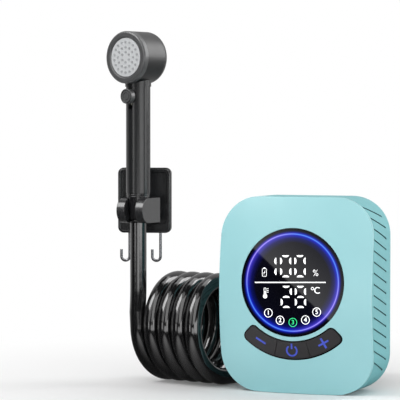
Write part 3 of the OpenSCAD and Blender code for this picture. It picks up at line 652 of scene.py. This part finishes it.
# %% Dial frame
crown_r = 260 * MM
lens_r = 44 * MM
ball = Vector((0, 225.5, 80.25)) * MM
dial_above = 11.25 * MM
lean = math.asin(dial_above / crown_r)
on_dial = Matrix.Translation(ball) @ Matrix.Rotation(-lean, 4, "X") @ Matrix.Translation((0, -crown_r, 0))
lens_front = crown_r - math.sqrt(crown_r ** 2 - lens_r ** 2)
lens_mid = on_dial @ Vector((0, lens_front, 0))
print("display centre", tuple(round(v, 4) for v in lens_mid))

# %% Glass and light ring
glass, nodes, links, shader = new_material("display_glass")
where = nodes.new("ShaderNodeTexCoord")
centred = nodes.new("ShaderNodeMapping")
centred.vector_type = "TEXTURE"
centred.inputs["Location"].default_value = lens_mid
centred.inputs["Rotation"].default_value = (-lean, 0, 0)
flat = vector_math(nodes, "MULTIPLY", (1 / lens_r, 0, 1 / lens_r))
out_from_mid = vector_math(nodes, "LENGTH")
slant = vector_math(nodes, "DOT_PRODUCT", (-0.75, 0, 0.65))
links.new(where.outputs["Object"], centred.inputs["Vector"])
links.new(centred.outputs["Vector"], flat.inputs[0])
links.new(flat.outputs["Vector"], out_from_mid.inputs[0])
links.new(flat.outputs["Vector"], slant.inputs[0])
print("glass follows the distance from its middle")

# %% Ring colours
blue_ring = ramp(nodes, [
    (0.0, (0, 0, 0)), (0.74, (0, 0, 0.004)), (0.82, (0.001, 0.004, 0.1)), (0.865, (0.004, 0.012, 0.4)),
    (0.883, (0.015, 0.05, 0.75)), (0.895, (0.13, 0.36, 1.0)), (0.907, (0.015, 0.05, 0.75)),
    (0.925, (0.003, 0.01, 0.26)), (0.942, (0.001, 0.003, 0.08)), (0.962, (0, 0, 0.002))])
violet_ring = ramp(nodes, [
    (0.0, (0, 0, 0)), (0.7, (0, 0, 0.004)), (0.8, (0.006, 0.005, 0.1)), (0.865, (0.04, 0.03, 0.42)),
    (0.883, (0.1, 0.07, 0.75)), (0.895, (0.5, 0.4, 1.0)), (0.907, (0.09, 0.06, 0.7)),
    (0.925, (0.008, 0.006, 0.2)), (0.942, (0.001, 0.001, 0.05)), (0.962, (0, 0, 0.002))])
size = nodes.new("ShaderNodeMath")
size.operation = "ABSOLUTE"
mixed = nodes.new("ShaderNodeMix")
mixed.data_type = "RGBA"
turning = map_range(nodes, 0.45, 0.9)
links.new(out_from_mid.outputs["Value"], blue_ring.inputs["Fac"])
links.new(out_from_mid.outputs["Value"], violet_ring.inputs["Fac"])
links.new(slant.outputs["Value"], size.inputs[0])
links.new(size.outputs[0], turning.inputs["Value"])
links.new(turning.outputs["Result"], mixed.inputs[0])
links.new(blue_ring.outputs["Color"], mixed.inputs[6])
links.new(violet_ring.outputs["Color"], mixed.inputs[7])
links.new(mixed.outputs[2], shader.inputs["Emission Color"])
shader.inputs["Emission Strength"].default_value = 1
shader.inputs["Base Color"].default_value = (0.002, 0.002, 0.003, 1)
smears = noise(nodes, links, where.outputs["Object"], 60, 3)
links.new(stretched(nodes, links, smears.outputs["Fac"], 0.012, 0.024), shader.inputs["Roughness"])
dress(glass, "display_lens")
print("light ring from 0.74 to 0.96 of the glass")

# %% [markdown]
# ## A card for the glass to mirror
# Flat glass looks like glass only when it mirrors something with an edge. A faint card hangs in front on the
# left so that its straight edge crosses the display from corner to corner. To place it, the camera is
# mirrored in the plane of the glass. Lines from that mirrored camera through two spots on the glass then run
# on to where the card's edge has to be, and a line through a third spot lies on the card itself. The card is
# graded, brightest along that edge.

# %% Card in front of the glass
out_of_glass = (on_dial.to_3x3() @ Vector((0, -1, 0))).normalized()
eye = camera.location - 2 * (camera.location - lens_mid).dot(out_of_glass) * out_of_glass


def beyond(x, z):
    """Where a line of sight off the glass, at a spot in millimetres from its middle, is a metre away."""
    place = on_dial @ Vector((x * MM, lens_front, z * MM))
    return place + (place - eye).normalized()


start, end, inside = beyond(-34.5, 27.5), beyond(19, -18.5), beyond(30, 30)
along = (end - start).normalized()
inward = (inside - start) - (inside - start).dot(along) * along
inward.normalize()
facing = along.cross(inward)
if facing.dot(start - lens_mid) < 0:
    along, facing = -along, -facing
data = bpy.data.lights.new("glass_card", "AREA")
data.shape = "RECTANGLE"
data.size = 0.5
data.size_y = 0.22
data.energy = 0.33
data.use_nodes = True
nodes, links = data.node_tree.nodes, data.node_tree.links
across_card = nodes.new("ShaderNodeNewGeometry")
parts = nodes.new("ShaderNodeSeparateXYZ")
grade = map_range(nodes, 0, 0.36, 1.45, 0.15, kind="LINEAR")
links.new(across_card.outputs["Parametric"], parts.inputs[0])
links.new(parts.outputs["Y"], grade.inputs["Value"])
links.new(grade.outputs["Result"], nodes["Emission"].inputs["Strength"])
card = bpy.data.objects.new("glass_card", data)
card.matrix_world = Matrix((along, inward, facing)).transposed().to_4x4()
card.location = (start + end) / 2 + inward * data.size_y / 2
card.visible_camera = False
scene.collection.objects.link(card)
print("card at", tuple(round(v, 2) for v in card.location))

# %% [markdown]
# ## Flat shapes for the display
# The figures are printed light: thin shapes just proud of the glass. Each is drawn lying flat, from a square,
# a circle or a piece of text, and thickened by less than a tenth of a millimetre. Then it is stood up and
# moved into the dial's frame. Small helpers keep each shape to one line.

# %% Shape helpers


def stamp(target, shape, matrix):
    """Adds a small shape to a mesh that is being gathered."""
    mesh = bpy.data.meshes.new("shape")
    shape.to_mesh(mesh)
    shape.free()
    mesh.transform(matrix)
    target.from_mesh(mesh)
    bpy.data.meshes.remove(mesh)


def bar(target, x, y, width, height, angle=0):
    shape = bmesh.new()
    bmesh.ops.create_grid(shape, x_segments=1, y_segments=1, size=0.5 * MM)
    place = Matrix.Translation((x * MM, y * MM, 0)) @ Matrix.Rotation(math.radians(angle), 4, "Z")
    stamp(target, shape, place @ Matrix.Diagonal((width, height, 1, 1)))


def hollowed(shape, wide):
    """Insets the one face of a shape and takes its middle out."""
    face = shape.faces[:][0]
    bmesh.ops.inset_region(shape, faces=[face], thickness=wide * MM, use_boundary=True,
                           use_even_offset=True)
    bmesh.ops.delete(shape, geom=[face], context="FACES_ONLY")


def ring(target, x, y, radius, wide, sides=40):
    """A ring with a line so wide, or a full disc where that is zero."""
    shape = bmesh.new()
    bmesh.ops.create_circle(shape, cap_ends=True, segments=sides, radius=radius * MM)
    if wide:
        hollowed(shape, wide)
    stamp(target, shape, Matrix.Translation((x * MM, y * MM, 0)))


def words(target, text, x, y, size, heavy=0.02):
    data = bpy.data.curves.new("words", "FONT")
    data.body = text
    data.size = size * MM
    data.offset = heavy * size * MM
    data.align_x = "CENTER"
    data.align_y = "CENTER"
    holder = bpy.data.objects.new("words", data)
    scene.collection.objects.link(holder)
    mesh = bpy.data.meshes.new_from_object(holder.evaluated_get(bpy.context.evaluated_depsgraph_get()))
    bpy.data.objects.remove(holder)
    mesh.transform(Matrix.Translation((x * MM, y * MM, 0)))
    target.from_mesh(mesh)
    bpy.data.meshes.remove(mesh)


print("shape helpers ready")

# %% [markdown]
# ## Seven-segment figures
# Each stroke of the big figures is half of a long lens shape: straight on its outer side and bulging inwards.
# A circle stretched into an ellipse and cut in half with bisect_plane makes one. The strokes are lettered a
# to g, as on any such display, and a figure is the list of the strokes that are lit.

# %% Strokes and figures


def stroke(target, x, y, length, thick, angle):
    shape = bmesh.new()
    bmesh.ops.create_circle(shape, cap_ends=True, segments=28, radius=1)
    bmesh.ops.bisect_plane(shape, geom=shape.verts[:] + shape.edges[:] + shape.faces[:], plane_co=(0, 0, 0),
                           plane_no=(0, 1, 0), clear_inner=True)
    place = Matrix.Translation((x * MM, y * MM, 0)) @ Matrix.Rotation(math.radians(angle), 4, "Z")
    stamp(target, shape, place @ Matrix.Diagonal((length / 2 * MM, thick * MM, 1, 1)))


strokes = {"a": (0, 8.9, 5.8, 1.6, 180), "d": (0, -8.9, 5.8, 1.6, 0), "g": (0, -0.75, 5.8, 1.6, 0),
           "b": (4.75, 4.3, 5.4, 1.75, 90), "c": (4.75, -4.3, 5.4, 1.75, 90),
           "f": (-4.75, 4.3, 5.4, 1.75, -90), "e": (-4.75, -4.3, 5.4, 1.75, -90)}


def figure(target, lit, x, y):
    for letter in lit:
        sx, sy, length, thick, angle = strokes[letter]
        stroke(target, x + sx, y + sy, length, thick, angle)


signs = bmesh.new()
for lit, x in (("bc", -18.3), ("abcdef", -5.5), ("abcdef", 6.85)):
    figure(signs, lit, x, 13.2)
for lit, x in (("abged", -5.3), ("abcdefg", 6.95)):
    figure(signs, lit, x, -11.6)
bar(signs, -1.9, 0.1, 61, 0.85)
print("figure faces:", len(signs.faces))

# %% [markdown]
# ## Signs beside the figures
# A battery with a bolt, a thermometer, the per cent and degree signs and five ringed numerals stand round the
# figures. The third numeral is green, as the step in use. All others join the white figures in one piece.

# %% Battery and thermometer


def rounded_outline(target, x, y, width, height, corner, wide):
    """An outline with rounded corners: a square, its corners bevelled and its middle taken out."""
    shape = bmesh.new()
    bmesh.ops.create_grid(shape, x_segments=1, y_segments=1, size=0.5 * MM)
    bmesh.ops.scale(shape, vec=(width, height, 1), verts=shape.verts)
    bmesh.ops.bevel(shape, geom=shape.verts[:], offset=corner * MM, segments=5, profile=0.5,
                    affect="VERTICES", material=-1)
    hollowed(shape, wide)
    stamp(target, shape, Matrix.Translation((x * MM, y * MM, 0)))


rounded_outline(signs, -24.0, 8.2, 4.0, 6.6, 1.0, 0.36)
bar(signs, -24.0, 11.9, 1.7, 0.7)
bar(signs, -23.7, 8.9, 0.35, 1.6, -24)
bar(signs, -24.3, 7.5, 0.35, 1.6, -24)
bar(signs, -24.0, 8.2, 1.4, 0.35, 10)
rounded_outline(signs, -23.6, -7.2, 2.1, 6.2, 1.0, 0.4)
ring(signs, -23.6, -11.1, 1.8, 0)
bar(signs, -23.6, -8.6, 0.7, 3.4)
for y in (-5.0, -6.4, -7.8):
    bar(signs, -21.3, y, 1.5, 0.4)
words(signs, "%", 20.1, 7.5, 7.4, -0.01)
words(signs, "C", 21.2, -6.6, 7.6, 0.0)
ring(signs, 17.3, -4.9, 1.3, 0.5, 24)
print("sign faces:", len(signs.faces))

# %% Ringed numerals
step_in_use = bmesh.new()
numerals = ((1, -20.9, -24.7), (2, -10.8, -30.6), (3, 0.2, -32.3), (4, 11.0, -30.2), (5, 20.7, -23.8))
for number, x, y in numerals:
    target = step_in_use if number == 3 else signs
    ring(target, x, y, 3.65, 0.52)
    words(target, str(number), x, y, 5.2, 0.01)
print("numeral faces:", len(step_in_use.faces))

# %% [markdown]
# Printed light has no shading of its own, so these pieces mostly glow. A trace of noise keeps the light
# from being perfectly even, as it is over real light-emitting segments.

# %% Glowing print
print_thick, print_sunk = 0.08 * MM, 0.02 * MM
dial_turn = math.radians(1.6)
outwards = Matrix.Rotation(math.radians(90), 4, "X")


def lit_print(name, colour, strength):
    material, nodes, links, shader = new_material(name)
    where = nodes.new("ShaderNodeTexCoord")
    uneven = noise(nodes, links, where.outputs["Object"], 400, 2)
    tones = ramp(nodes, [(0.3, [0.82 * c for c in colour]), (0.7, colour)])
    links.new(uneven.outputs["Fac"], tones.inputs["Fac"])
    links.new(tones.outputs["Color"], shader.inputs["Emission Color"])
    links.new(tones.outputs["Color"], shader.inputs["Base Color"])
    shader.inputs["Emission Strength"].default_value = strength
    shader.inputs["Roughness"].default_value = 0.4
    return material


def thicken(bm, depth):
    """Gives flat shapes a thickness, with their printed side up."""
    bmesh.ops.recalc_face_normals(bm, faces=bm.faces)
    down = [f for f in bm.faces if f.normal.z < 0]
    bmesh.ops.reverse_faces(bm, faces=down)
    made = bmesh.ops.extrude_face_region(bm, geom=bm.faces[:], use_keep_orig=True)["geom"]
    raised = [v for v in made if isinstance(v, bmesh.types.BMVert)]
    bmesh.ops.translate(bm, vec=(0, 0, depth), verts=raised)
    bmesh.ops.recalc_face_normals(bm, faces=bm.faces)


def put_on_dial(bm):
    thicken(bm, print_thick)
    standing = Matrix.Translation((0, lens_front + print_sunk, 0)) @ outwards
    level = Matrix.Rotation(dial_turn, 4, "Z")
    bmesh.ops.transform(bm, matrix=on_dial @ standing @ level, verts=bm.verts)


for bm, name, colour in ((signs, "display_figures", (0.95, 0.96, 0.97)),
                         (step_in_use, "step_in_use", (0.02, 0.62, 0.22))):
    put_on_dial(bm)
    obj = piece(name, bm, lit_print(name, colour, 0.85), smooth=False)
    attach(obj, "pump")
    print(name, "faces:", len(obj.data.polygons))

# %% [markdown]
# ## Signs on the keys
# The minus, power and plus signs are printed on keys that follow the crown, so each sign is tipped about the
# crown's centre until it lies on its key. Each rides on its own key and sinks with it.

# %% Key signs
key_mid, key_spread = 55.275 * MM, 29.2
key_face = crown_r + 0.6 * MM


def put_on_key(bm, angle):
    thicken(bm, print_thick)
    tip = math.asin(key_mid / key_face)
    standing = Matrix.Translation((0, print_sunk - key_face, 0)) @ outwards
    turn = Matrix.Rotation(math.radians(-angle), 4, "Y") @ Matrix.Rotation(tip, 4, "X")
    place = Matrix.Translation(ball) @ Matrix.Rotation(-lean, 4, "X")
    bmesh.ops.transform(bm, matrix=place @ turn @ standing, verts=bm.verts)


def power_sign(bm):
    shape = bmesh.new()
    start = shape.verts.new((0, 3.6 * MM, 0))
    end = shape.verts.new((0, 5.0 * MM, 0))
    edge = shape.edges.new((start, end))
    turn_to_gap = Matrix.Rotation(math.radians(38), 4, "Z")
    bmesh.ops.transform(shape, matrix=turn_to_gap, verts=shape.verts)
    bmesh.ops.spin(shape, geom=[start, end, edge], cent=(0, 0, 0), axis=(0, 0, 1),
                   angle=math.radians(284), steps=36)
    stamp(bm, shape, Matrix.Identity(4))
    bar(bm, 0, 3.6, 1.4, 4.6)


print("key signs lie", round(key_mid / MM, 1), "mm from the middle of the dial")

# %% Place the key signs
blue_print = lit_print("key_sign_blue", (0.045, 0.07, 0.45), 0.4)
for key, angle in (("minus_key", -key_spread), ("power_key", 0), ("plus_key", key_spread)):
    bm = bmesh.new()
    if key == "power_key":
        power_sign(bm)
    else:
        bar(bm, 0, 0, 9.6, 1.5)
    if key == "plus_key":
        bar(bm, 0, 2.7, 1.7, 3.9)
        bar(bm, 0, -2.7, 1.7, 3.9)
    put_on_key(bm, angle)
    obj = piece(key + "_sign", bm, blue_print, smooth=False)
    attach(obj, key)
    print(obj.name, tuple(round(v, 4) for v in obj.data.vertices[0].co))

# %% [markdown]
# ## Spray nubs
# Water leaves the spray face through soft rubber nubs, so that lime can be rubbed off. Each is a short cone
# whose tip is inset and pushed in to make its hole. They stand in three rings on the holes of the plate, and
# they turn with the hand shower.

# %% Spray nubs
hand_turned = math.radians(-18)
head_z, face_y, ring_step = 275.7 * MM, -15.9 * MM, 4.267 * MM
in_hand = Matrix.Translation(riser) @ Matrix.Rotation(hand_turned, 4, "Z")
in_head = in_hand @ Matrix.Translation((0, 0, head_z))
nubs = bmesh.new()
for circle in (1, 2, 3):
    for i in range(6 * circle):
        shape = bmesh.new()
        bmesh.ops.create_cone(shape, cap_ends=True, segments=10, radius1=1.2 * MM, radius2=0.85 * MM,
                              depth=1.1 * MM)
        tip = max(shape.faces, key=lambda f: f.calc_center_median().z)
        bmesh.ops.inset_region(shape, faces=[tip], thickness=0.32 * MM)
        bmesh.ops.translate(shape, vec=(0, 0, -0.6 * MM), verts=tip.verts)
        turn = Matrix.Rotation(math.radians(60 * i / circle), 4, "Y")
        place = Matrix.Translation((0, face_y, circle * ring_step))
        stamp(nubs, shape, in_head @ turn @ place @ outwards)
nub_skin = moulded("nub_rubber", (0.36, 0.37, 0.38), 0.5, 0.6, 0.04, 2600, 0.05, 0)
nubs = piece("spray_nubs", nubs, nub_skin)
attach(nubs, "handset")
print("nub faces:", len(nubs.data.polygons))

# %% [markdown]
# ## Rings and a knob rim
# Two thin rings run round the hose nut under the handle, and the stop knob's face has a raised rim that
# catches the light. Each is a hoop: a small ellipse spun once round the axis, with its ends merged.

# %% Hoops


def hoop(target, place, radius, wide, thick, steps=64):
    """An ellipse spun round the Z axis of a place, with sizes in millimetres."""
    shape = bmesh.new()
    bmesh.ops.create_circle(shape, segments=10, radius=1)
    section = Matrix.Translation((radius * MM, 0, 0)) @ outwards
    section = section @ Matrix.Diagonal((thick / 2 * MM, wide / 2 * MM, 1, 1))
    bmesh.ops.transform(shape, matrix=section, verts=shape.verts)
    bmesh.ops.spin(shape, geom=shape.verts[:] + shape.edges[:], cent=(0, 0, 0), axis=(0, 0, 1),
                   angle=2 * math.pi, steps=steps, use_merge=True)
    bmesh.ops.recalc_face_normals(shape, faces=shape.faces)
    stamp(target, shape, place)


bm = bmesh.new()
for height, radius in ((158.7, 9.55), (160.3, 9.65)):
    hoop(bm, in_hand @ Matrix.Translation((0, 0, height * MM)), radius, 1.0, 1.0)
nut_rings = piece("nut_rings", bm, trim_skin)
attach(nut_rings, "handset")
knob_y, knob_z = -15.3 * MM, 243.1 * MM
knob_face = in_hand @ Matrix.Translation((0, knob_y, knob_z)) @ outwards
bm = bmesh.new()
hoop(bm, knob_face, 5.5, 0.8, 1.1, 40)
hoop(bm, knob_face, 3.0, 0.4, 0.5, 32)
knob_rim = piece("knob_rim", bm, trim_skin)
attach(knob_rim, "stop_slider")
print("hoop faces:", len(nut_rings.data.polygons) + len(knob_rim.data.polygons))

# %% [markdown]
# ## Bead round the holder's plate
# The holder's plate has a raised bead just inside its edge, which draws a light line round it. The bead is a
# flat outline with rounded corners, thickened, with its upper edges bevelled.

# %% Plate bead
bead_high = 1.0 * MM
plate_turned = math.radians(13)
plate_y, plate_z = 27.9 * MM, 154.5 * MM
bm = bmesh.new()
rounded_outline(bm, 0, 0, 44.4, 54.4, 4.4, 1.5)
thicken(bm, bead_high)
top = {v for v in bm.verts if v.co.z > bead_high / 2}
crest = [e for e in bm.edges if set(e.verts) <= top and any(abs(f.normal.z) < 0.5 for f in e.link_faces)]
bmesh.ops.bevel(bm, geom=crest, offset=0.55 * MM, segments=3, profile=0.5, affect="EDGES", material=-1)
in_holder = Matrix.Translation(riser) @ Matrix.Rotation(plate_turned, 4, "Z")
on_plate = in_holder @ Matrix.Translation((0, plate_y, plate_z)) @ outwards
bmesh.ops.transform(bm, matrix=on_plate, verts=bm.verts)
plate_bead = piece("plate_bead", bm, trim_skin)
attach(plate_bead, "pump")
print("bead faces:", len(plate_bead.data.polygons))

# %% [markdown]
# ## Ribs on the outlet nut
# The nut on the pump's back is turned by wet fingers, so it is ribbed. A rib is a thin bar with bevelled
# ends, repeated round the nut's axis and sunk a little more than halfway into it.

# %% Nut ribs
low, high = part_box("outlet_nut")
nut_mid = (Vector(low) + Vector(high)) / 2
nut_r = (high[0] - low[0]) / 2
rib_count, rib_r = 24, 0.7 * MM
out_to_rim = Matrix.Translation((0, 0, nut_r - 0.1 * MM))
ribs = bmesh.new()
for i in range(rib_count):
    shape = bmesh.new()
    bmesh.ops.create_cone(shape, cap_ends=True, segments=8, radius1=rib_r, radius2=rib_r, depth=10 * MM)
    ends = [e for f in shape.faces if len(f.verts) > 4 for e in f.edges]
    bmesh.ops.bevel(shape, geom=ends, offset=0.4 * MM, segments=2, profile=0.5, affect="EDGES", material=-1)
    turn = Matrix.Rotation(2 * math.pi * i / rib_count, 4, "Y")
    stamp(ribs, shape, Matrix.Translation(nut_mid) @ turn @ out_to_rim @ outwards)
ribs = piece("nut_ribs", ribs, fitting_skin)
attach(ribs, "pump")
print("rib faces:", len(ribs.data.polygons))
